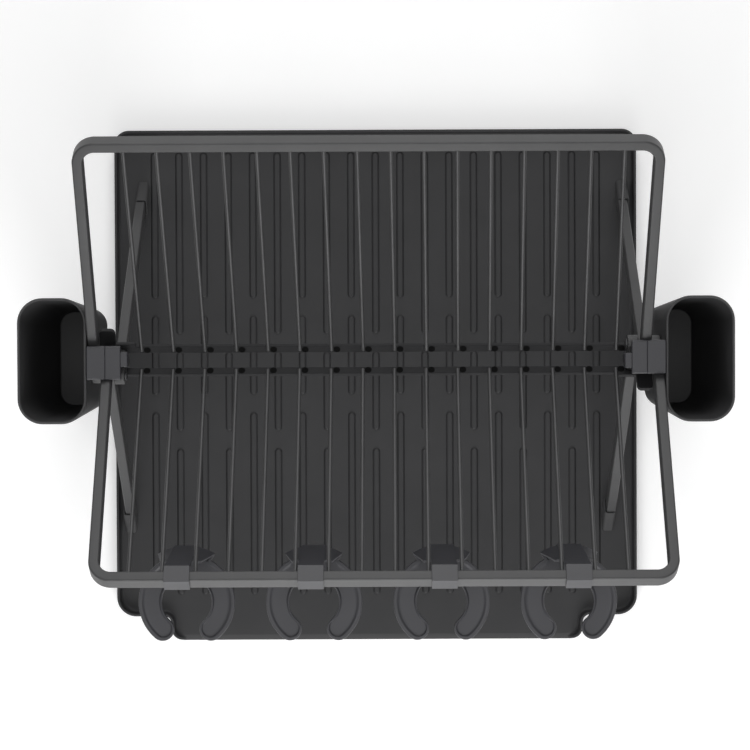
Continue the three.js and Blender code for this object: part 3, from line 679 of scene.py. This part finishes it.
def tray_surface():
    """The profile carried along the outline, with every height above the floor lowered at the lip."""
    profile = tray_profile()
    x, y = tray_outline(profile[:, 0])
    z = np.repeat(profile[:, 1:], x.shape[1], axis=1)
    open_front = smooth_step(LIP_HALF - np.abs(x), 1.0, LIP_CORNER) * (y < LIP_END + LIP_CORNER)
    floor_here = TRAY_FLOOR - LIP_FALL * np.clip((-y - TRAY_FRONT) / LIP_REACH, 0, 1) ** LIP_FALL_POWER
    z = np.where(z > floor_here, floor_here + (z - floor_here) * (1 - open_front), z)
    return np.stack([x, y, z], axis=-1)


print("wall profile of", len(tray_profile()), "points")

# %% [markdown]
# The ribs stand a little proud of the floor. Each is a stadium, drawn as a ring whose half-width
# shrinks as it rises, so its sides slope and catch less light than its flat top. Nineteen columns
# are broken twice each, in two patterns that take turns.

# %% Ribs and the whole tray
RIB_COLUMNS = 19
RIB_HALF = 2.6
RIB_HEIGHT = 1.7
RIB_GAP = 15.5
RIB_SIDE_MARGIN, RIB_REAR_MARGIN, RIB_FRONT_MARGIN = 32.2, 18.0, 17.0
RIB_REAR = TRAY_REAR - RIB_REAR_MARGIN
RIB_FRONT = TRAY_FRONT - RIB_FRONT_MARGIN
RIB_BREAK_SHARES = np.array([[0.3484, 0.5671], [0.4299, 0.6489]])
RIB_STEPS = 8


def rib_surfaces():
    """Each ring is two half circles of the ring's half-width, one at each end of the rib."""
    column = np.arange(RIB_COLUMNS)
    pitch = 2 * (TRAY_HALF - RIB_SIDE_MARGIN) / (RIB_COLUMNS - 1)
    x = np.repeat((column - (RIB_COLUMNS - 1) / 2) * pitch, 3)
    breaks = RIB_REAR - RIB_BREAK_SHARES[column % 2] * (RIB_REAR + RIB_FRONT)
    rear = np.column_stack([np.full(RIB_COLUMNS, RIB_REAR), breaks - RIB_GAP / 2]).ravel()
    front = np.column_stack([breaks + RIB_GAP / 2, np.full(RIB_COLUMNS, -RIB_FRONT)]).ravel()
    half = np.array([3.3, 3.2, 2.0, 1.75, 1.35])
    height = TRAY_FLOOR + np.array([-0.6, 0.05, 1.4, 1.62, RIB_HEIGHT])
    turn = np.linspace(0, np.pi, RIB_STEPS + 1)
    turn = np.concatenate([turn, turn + np.pi])
    end = np.repeat(np.stack([rear - RIB_HALF, front + RIB_HALF], axis=-1), RIB_STEPS + 1, axis=1)
    grid_x = x[:, None, None] + half[None, :, None] * np.cos(turn)
    grid_y = end[:, None, :] + half[None, :, None] * np.sin(turn)
    grid_z = np.broadcast_to(height[None, :, None], grid_x.shape)
    return np.stack([grid_x, grid_y, grid_z], axis=-1)


ribs = rib_surfaces() + PIVOT * [1, 1, 0]
tray = tray_surface() + PIVOT * [1, 1, 0]
make_piece("drip_tray_moulding", [tray, *ribs], "tray", "tray_plastic", ["drip_tray"])
print(len(ribs), "ribs on a tray of", tray.shape, "points")

# %% [markdown]
# ## Cutlery baskets
#
# A basket is a deep cup with a rounded-rectangle mouth that narrows to its floor. Rings go up the
# outside, over a rounded rim, and down the inside. The side next to the rack stays nearly upright,
# so each ring's centre moves out as the ring gets wider.

# %% Baskets
BASKET_CLEARANCE = 0.4
BASKET_INNER = OUTER_LAYER + HALF_WIDTH + BASKET_CLEARANCE
BASKET_HEIGHT = 150.0
BASKET_WALL = 2.0
BASKET_DRAFT = 0.6
BASKET_EDGE = 6.0
BASKET_RIM = 0.9
MOUTH = np.array([52.0, 95.0, 19.0])
CUP_FLOOR = np.array([41.0, 81.0, 14.0])
CREASE = 1.5
LEAST_CORNER = 2.0
HOOK_NEAR, HOOK_FAR, HOOK_COVER = 11.3, 14.3, 3.9
BASKET_TOP_DROP = 1.5
SEAT_RISE = HALF_THICKNESS / math.sin(ARM_ANGLE) + GAP


def seat_height(y):
    """Height of the vee over the arms: it rises by the cotangent of their angle either side."""
    return PIVOT[2] + np.abs(y) / math.tan(ARM_ANGLE) + SEAT_RISE


HOOK_TOP = seat_height(HOOK_FAR) + HOOK_COVER
BASKET_TOP = HOOK_TOP - BASKET_TOP_DROP
BASKET_BOTTOM = BASKET_TOP - BASKET_HEIGHT


def basket_levels():
    """(inset, height) pairs: the floor's rounded edge, the wall, the rim, and the same way down inside."""
    quarter = np.linspace(0, np.pi / 2, 8)
    outside = np.stack([BASKET_EDGE * (1 - np.sin(quarter)),
                        BASKET_BOTTOM + BASKET_EDGE * (1 - np.cos(quarter))], axis=-1)
    wall_z = np.linspace(BASKET_BOTTOM + BASKET_EDGE, BASKET_TOP - BASKET_RIM, 11)
    up = np.stack([np.zeros(10), wall_z[1:]], axis=-1)
    half_turn = np.linspace(0, np.pi, 9)[1:]
    rim_z = BASKET_TOP - BASKET_RIM + BASKET_RIM * np.sin(half_turn)
    rim = np.stack([BASKET_WALL / 2 * (1 - np.cos(half_turn)), rim_z], axis=-1)
    down = np.stack([np.full(10, BASKET_WALL), wall_z[:-1][::-1]], axis=-1)
    inside = np.stack([BASKET_WALL + CREASE * (1 - np.cos(quarter)),
                       BASKET_BOTTOM + BASKET_WALL + CREASE * (1 - np.sin(quarter))], axis=-1)
    return np.concatenate([outside, up, rim, down, inside])


def basket(side):
    """Width, depth and corner radius follow the height in step; each inset shrinks all three."""
    inset, z = basket_levels().T
    share = (z - BASKET_BOTTOM) / BASKET_HEIGHT
    width, depth, radius = (CUP_FLOOR + (MOUTH - CUP_FLOOR) * share[:, None]).T
    radius = np.maximum(radius - inset, LEAST_CORNER)[:, None]
    centre = (BASKET_INNER + BASKET_DRAFT * (1 - share) + width / 2)[:, None]
    unit = rounded_rectangle(1.0, 1.0, 1.0, 12)
    corner = np.sign(np.round(rounded_rectangle(2.0, 2.0, 1.0, 12) - unit))
    x = side * centre + corner[:, 0] * ((width / 2 - inset)[:, None] - radius) + radius * unit[:, 0]
    y = corner[:, 1] * ((depth / 2 - inset)[:, None] - radius) + radius * unit[:, 1]
    return np.stack([x, y, np.repeat(z[:, None], len(unit), axis=1)], axis=-1)


for name, side in (("left", -1), ("right", 1)):
    cup = basket(side) + PIVOT * [1, 1, 0]
    make_piece(f"{name}_basket_cup", [cup], f"{name}_basket", "basket_plastic", [f"{name}_basket"])
print("basket from", round(BASKET_BOTTOM, 1), "to", round(BASKET_TOP, 1), "mm up")

# %% [markdown]
# ## Basket hooks
#
# Each basket hangs from a saddle that sits in the vee of the crossed arms. Its side profile is
# pushed along X, and a Bevel modifier rounds the edges as a mould would. A small tongue drops
# behind the innermost bar.

# %% Hooks
HOOK_STEP = 1.2
HOOK_CHAMFER = 1.2
HOOK_END_MARGIN = 2.3
HOOK_LAP = 2.0
HOOK_BEVEL = 0.6
TONGUE_NEAR, TONGUE_FAR = 6.7, 4.6
TONGUE_THICKNESS, TONGUE_DEPTH, TONGUE_TOP_DROP = 2.4, 10.9, 3.0


def extrude_x(profile, start, end):
    """A (y, z) profile pushed along X between two places, as two rings."""
    ring = profile[:, :1] * Y + profile[:, 1:] * Z
    return np.stack([start * X + ring, end * X + ring])


def saddle_profile(top):
    """A vee below, from the seat's height, and a flat top with small chamfers."""
    side_y = np.array([-HOOK_NEAR, 0, HOOK_FAR, HOOK_FAR, HOOK_FAR - HOOK_CHAMFER, HOOK_CHAMFER - HOOK_NEAR,
                       -HOOK_NEAR])
    height = np.array([*seat_height(side_y[:3]), top - HOOK_CHAMFER, top, top, top - HOOK_CHAMFER])
    return np.stack([side_y, height], axis=-1)


def block(x0, x1, y0, y1, z0, z1):
    """A box as two rectangular rings."""
    ring = np.array([[y0, z0], [y1, z0], [y1, z1], [y0, z1]])
    return extrude_x(ring, x0, x1)


def hook():
    """Outer and inner saddle, the shelf through the bar's face, and the tongue that drops behind it."""
    shelf = seat_height(TONGUE_NEAR)
    tongue_top = HOOK_TOP - TONGUE_TOP_DROP
    reach = INNERMOST_FACE - GAP - TONGUE_THICKNESS
    inner = INNERMOST_FACE + HOOK_END_MARGIN
    return [
        extrude_x(saddle_profile(HOOK_TOP), MIDDLE_LAYER, BASKET_INNER - GAP),
        extrude_x(saddle_profile(HOOK_TOP - HOOK_STEP), inner, MIDDLE_LAYER + GAP),
        block(reach, inner + HOOK_LAP, -TONGUE_NEAR, TONGUE_FAR, shelf, tongue_top),
        block(reach, reach + TONGUE_THICKNESS, -TONGUE_NEAR, TONGUE_FAR, tongue_top - TONGUE_DEPTH,
              shelf + GAP),
    ]


for name, turn in (("left", -1), ("right", 1)):
    shells = [grid * [turn, turn, 1] + PIVOT * [1, 1, 0] for grid in hook()]
    make_piece(f"{name}_hook_saddle", shells, f"{name}_basket", "clip_plastic", [f"{name}_basket_hook"],
               bevel=HOOK_BEVEL)
print("hooks up to", round(float(HOOK_TOP), 1), "mm")

# %% [markdown]
# ## Stemware holders
#
# A clip grips the top bar between two rods, and a thin web runs down to a horseshoe that takes the
# foot of a glass. The clip and its web are one side profile, pushed along X.

# %% Clips
HOLDERS, RODS_PER_HOLDER = 4, 4
CLIP_TO_ROD = 1.3
CLIP_WIDTH = ROD_PITCH - 2 * (ROD_RADIUS + CLIP_TO_ROD)
CLIP_WALL, CLIP_LIP, CLIP_REAR = 1.8, 4.6, 10.4
PRONG_DROP = 82.7
BAR_REACH = ARM_LENGTH * math.sin(ARM_ANGLE)
BAR_HEIGHT = PIVOT[2] + ARM_LENGTH * math.cos(ARM_ANGLE)
PRONG_TOP = BAR_HEIGHT - PRONG_DROP
PRONG_THICKNESS = 3.0
PRONG_AHEAD = 26.1
WEB_RADIUS = 42.3
WEB_INSET = 0.4
WEB_FOOT = WEB_RADIUS - PRONG_AHEAD + WEB_INSET


def clip_profile():
    """Lip, bridge over the bar and web down to the horseshoe, in the directions of the leaning bar."""
    sine, cosine = math.sin(ARM_ANGLE), math.cos(ARM_ANGLE)

    def at(up, outside):
        return [-BAR_REACH - up * sine - outside * cosine, BAR_HEIGHT + up * cosine - outside * sine]

    def bridge(depth, reach):
        outside = -HALF_THICKNESS - depth
        return at((-reach - outside * cosine) / sine, outside)

    outer = GAP + CLIP_WALL
    bottom = PRONG_TOP - PRONG_THICKNESS / 2
    return np.array([
        at(HALF_WIDTH + GAP, CLIP_LIP),
        at(HALF_WIDTH + outer, CLIP_LIP),
        at(HALF_WIDTH + outer, -HALF_THICKNESS - outer),
        bridge(outer, CLIP_REAR),
        [WEB_FOOT - BAR_REACH, bottom],
        [WEB_FOOT - CLIP_WALL - BAR_REACH, bottom],
        bridge(GAP, CLIP_REAR - CLIP_WALL),
        at(HALF_WIDTH + GAP, -HALF_THICKNESS - GAP),
    ])


clip = extrude_x(clip_profile(), -CLIP_WIDTH / 2, CLIP_WIDTH / 2)
print("clip", round(CLIP_WIDTH, 1), "mm wide")

# %% [markdown]
# The horseshoe has a raised rim, wide along its outer edge and narrow round its opening: its
# outline is carried through a profile of (share of the rim, height) pairs, inwards along the
# outline's own normals.

# %% Horseshoes
PRONG_CENTRE = -BAR_REACH - PRONG_AHEAD
PRONG_OUTER, PRONG_INNER = 36.3, 18.8
TIP_ANGLE = math.radians(48.5)
WEB_ANGLE = math.radians(30.8)
RIM_OUTER, RIM_INNER = 3.3, 1.4
WEB_POINTS, EDGE_POINTS, TIP_POINTS = 15, 41, 25


def arc(x, y, radius, start, end, steps):
    """Points (x + r cos t, y + r sin t) for an angle t that goes evenly from start to end."""
    turn = np.linspace(start, end, steps)
    return np.stack([x + radius * np.cos(turn), y + radius * np.sin(turn)], axis=-1)


def horseshoe():
    """Half an outline from the rear middle: web arc, outer arc, round tip, opening; then its mirror."""
    middle, tip = (PRONG_OUTER + PRONG_INNER) / 2, (PRONG_OUTER - PRONG_INNER) / 2
    tip_x, tip_y = middle * math.cos(TIP_ANGLE), PRONG_CENTRE - middle * math.sin(TIP_ANGLE)
    upright = np.pi / 2
    parts = [
        arc(0, PRONG_CENTRE, WEB_RADIUS, upright, upright - WEB_ANGLE, WEB_POINTS),
        arc(0, PRONG_CENTRE, PRONG_OUTER, upright - WEB_ANGLE, -TIP_ANGLE, EDGE_POINTS),
        arc(tip_x, tip_y, tip, -TIP_ANGLE, -TIP_ANGLE - np.pi, TIP_POINTS)[1:-1],
        arc(0, PRONG_CENTRE, PRONG_INNER, -TIP_ANGLE, upright, EDGE_POINTS),
    ]
    rim = np.concatenate([np.full(WEB_POINTS + EDGE_POINTS, RIM_OUTER),
                          np.linspace(RIM_OUTER, RIM_INNER, TIP_POINTS - 2),
                          np.full(EDGE_POINTS, RIM_INNER)])
    half = np.concatenate(parts)
    return np.concatenate([half, half[-2:0:-1] * [-1, 1]]), np.concatenate([rim, rim[-2:0:-1]])


def inset_outline(outline, inset):
    """Each point moves by its inset along the mean normal of its two sides, towards the inside."""
    ahead = np.roll(outline, -1, axis=0) - outline
    ahead /= np.maximum(np.linalg.norm(ahead, axis=1), 1e-6)[:, None]
    mean = ahead + np.roll(ahead, 1, axis=0)
    mean /= np.maximum(np.linalg.norm(mean, axis=1), 1e-6)[:, None]
    following = np.roll(outline, -1, axis=0)
    area = np.sum(outline[:, 0] * following[:, 1] - outline[:, 1] * following[:, 0])
    inward = np.stack([-mean[:, 1], mean[:, 0]], axis=-1) * np.sign(area)
    return outline[None] + inset[:, :, None] * inward[None]


def prong_surface():
    """Rings go up the edge, over the rim's rounded top and down to the sunk middle."""
    edge = np.array([[0.5, -3.0], [0.0, -2.5], [0.0, -0.7], [0.15, -0.25], [0.5, 0.0]])
    crown = np.array([[0.72, 0.0], [0.9, -0.2], [1.1, -0.9], [1.35, -1.15], [1.8, -1.3]])
    outline, rim = horseshoe()
    inset = np.concatenate([np.repeat(edge[:, :1], len(rim), axis=1), crown[:, :1] * rim])
    z = PRONG_TOP + np.concatenate([edge[:, 1], crown[:, 1]])
    flat = inset_outline(outline, inset)
    return np.concatenate([flat, np.broadcast_to(z[:, None, None], (*flat.shape[:2], 1))], axis=-1)


print("horseshoe of", prong_surface().shape[:2], "points")

# %% [markdown]
# The web's foot flares into a curved wall along the horseshoe's rear edge. Then the three shells go
# together on each of four places, all a little aside of the middle between their rods.

# %% Webs and whole holders
SHOULDER_ANGLE = math.radians(20.8)
SHOULDER_HEIGHT, NECK_HEIGHT = 52.0, 59.0
SHOULDER_BLEND = (-5.0, 3.0)
FLARE_POINTS = 17
CLIP_ASIDE = 0.5
HOLDER_BEVEL = 0.35


def web_flare():
    """Curved wall rings: two arcs whose angle shrinks to the shoulders, then to the neck."""
    reach = BAR_REACH - CLIP_REAR - WEB_INSET
    lean = (PRONG_CENTRE + WEB_RADIUS + reach) / (BAR_HEIGHT - PRONG_TOP)
    neck_angle = math.asin((CLIP_WIDTH / 2 - WEB_INSET) / WEB_RADIUS)
    rings = []
    stations = [-PRONG_THICKNESS / 2, SHOULDER_HEIGHT, NECK_HEIGHT]
    below, above = (SHOULDER_HEIGHT + step for step in SHOULDER_BLEND)
    for height in (stations[0], 0.0, below, SHOULDER_HEIGHT, above, NECK_HEIGHT):
        angle = np.interp(height, stations, [WEB_ANGLE, SHOULDER_ANGLE, neck_angle])
        centre = PRONG_CENTRE - lean * height
        low, high = np.pi / 2 - angle, np.pi / 2 + angle
        ring = np.concatenate([arc(0, centre, WEB_RADIUS, low, high, FLARE_POINTS),
                               arc(0, centre, WEB_RADIUS - CLIP_WALL, high, low, FLARE_POINTS)])
        rings.append(np.column_stack([ring, np.full(len(ring), PRONG_TOP + height)]))
    return np.stack(rings)


for number in range(HOLDERS):
    aside = CLIP_ASIDE + (number - (HOLDERS - 1) / 2) * RODS_PER_HOLDER * ROD_PITCH
    shells = [grid + aside * X + PIVOT * [1, 1, 0] for grid in (clip, prong_surface(), web_flare())]
    make_piece(f"stemware_holder_{number + 1}_moulding", shells, f"holder_{number + 1}", "clip_plastic",
               [f"stemware_holder_{number + 1}"], bevel=HOLDER_BEVEL)
print(HOLDERS, "holders")

# %% [markdown]
# ## Floor, light and background
#
# The object stands on a pale sheet. The background is white to the camera, while the floor keeps a
# soft shadow. A small lamp stands near and low in front, so that the front edges of bars, clips and
# lip are the lightest, as in the photograph. The strongest is broad, low and further off behind:
# the sloping faces of the bars show its reflection. A weak one from above and one from high in
# front fill in the rest.

# %% Lamps
TARGET = np.array([0.0, 0.0, 0.12])
LAMPS = {
    "overhead": ((0.0, 0.0, 2.8), 1.4, 15),
    "high_front": ((0.0, -1.15, 0.95), 1.0, 5),
    "low_front": ((0.0, -0.95, 0.5), 0.8, 8.5),
    "low_rear": ((0.0, 1.95, 1.2), 1.3, 26),
}


def add_lamp(name, place, size, power):
    """A square area lamp that faces the rack: its tilt is the arc tangent of run over drop."""
    light = bpy.data.lights.new(name, "AREA")
    light.shape = "SQUARE"
    light.size = size
    light.energy = power
    lamp = bpy.data.objects.new(name, light)
    lamp.location = place
    way = TARGET - np.array(place)
    lamp.rotation_euler = (math.atan2(math.hypot(way[0], way[1]), -way[2]), 0, math.atan2(-way[0], way[1]))
    bpy.context.scene.collection.objects.link(lamp)


for name, (place, size, power) in LAMPS.items():
    add_lamp(name, place, size, power)
print(len(LAMPS), "lamps")

# %% [markdown]
# The floor's own white is what the camera adds to it: emission seen only by camera, glossy and
# transmission rays, while its diffuse part carries the shadow. The lift grows with the distance
# from the rack, because the sheet of a studio goes on where the lamps no longer reach.

# %% Floor and world
FLOOR_SIZE = 6.0
FLOOR_SHADE = 0.92
FLOOR_LIFT = 0.2
LIFT_FROM, LIFT_TO = 0.8, 1.8
SKY = 0.22


def seen_rays(nodes, links):
    """The largest of the camera, glossy and transmission flags: 1 where the background is looked at."""
    path = nodes.new("ShaderNodeLightPath")
    seen = path.outputs["Is Camera Ray"]
    for other in ("Is Glossy Ray", "Is Transmission Ray"):
        either = nodes.new("ShaderNodeMath")
        either.operation = "MAXIMUM"
        links.new(seen, either.inputs[0])
        links.new(path.outputs[other], either.inputs[1])
        seen = either.outputs[0]
    return seen


def add_floor():
    """A flat square under the tray: pale diffuse, plus a lift towards white for the rays that see it."""
    half = FLOOR_SIZE / 2
    mesh = bpy.data.meshes.new("floor")
    corners = [(-half, -half, 0), (half, -half, 0), (half, half, 0), (-half, half, 0)]
    mesh.from_pydata(corners, [], [(0, 1, 2, 3)])
    floor = bpy.data.objects.new("floor", mesh)
    bpy.context.scene.collection.objects.link(floor)
    material = bpy.data.materials.new("pale_sheet")
    material.use_nodes = True
    nodes, links = material.node_tree.nodes, material.node_tree.links
    shader = nodes["Principled BSDF"]
    shader.inputs["Base Color"].default_value = (FLOOR_SHADE, FLOOR_SHADE, FLOOR_SHADE, 1)
    shader.inputs["Roughness"].default_value = 1.0
    shader.inputs["Specular IOR Level"].default_value = 0.0
    shader.inputs["Emission Color"].default_value = (1, 1, 1, 1)
    place = nodes.new("ShaderNodeTexCoord")
    distance = nodes.new("ShaderNodeVectorMath")
    distance.operation = "LENGTH"
    links.new(place.outputs["Object"], distance.inputs[0])
    far = nodes.new("ShaderNodeMapRange")
    far.inputs["From Min"].default_value = LIFT_FROM
    far.inputs["From Max"].default_value = LIFT_TO
    far.inputs["To Min"].default_value = FLOOR_LIFT
    links.new(distance.outputs["Value"], far.inputs["Value"])
    lift = nodes.new("ShaderNodeMath")
    lift.operation = "MULTIPLY"
    links.new(seen_rays(nodes, links), lift.inputs[0])
    links.new(far.outputs["Result"], lift.inputs[1])
    links.new(lift.outputs[0], shader.inputs["Emission Strength"])
    mesh.materials.append(material)


def add_world():
    """White to the rays that look at it, and a soft grey light to everything else."""
    world = bpy.data.worlds.new("studio")
    bpy.context.scene.world = world
    world.use_nodes = True
    nodes, links = world.node_tree.nodes, world.node_tree.links
    background = nodes["Background"]
    strength = nodes.new("ShaderNodeMapRange")
    strength.inputs["To Min"].default_value = SKY
    strength.inputs["To Max"].default_value = 1.0
    links.new(seen_rays(nodes, links), strength.inputs["Value"])
    links.new(strength.outputs["Result"], background.inputs["Strength"])
    background.inputs["Color"].default_value = (1, 1, 1, 1)


add_floor()
add_world()
bpy.context.scene.view_settings.view_transform = "Standard"
print("floor", FLOOR_SIZE, "m across, sky", SKY)
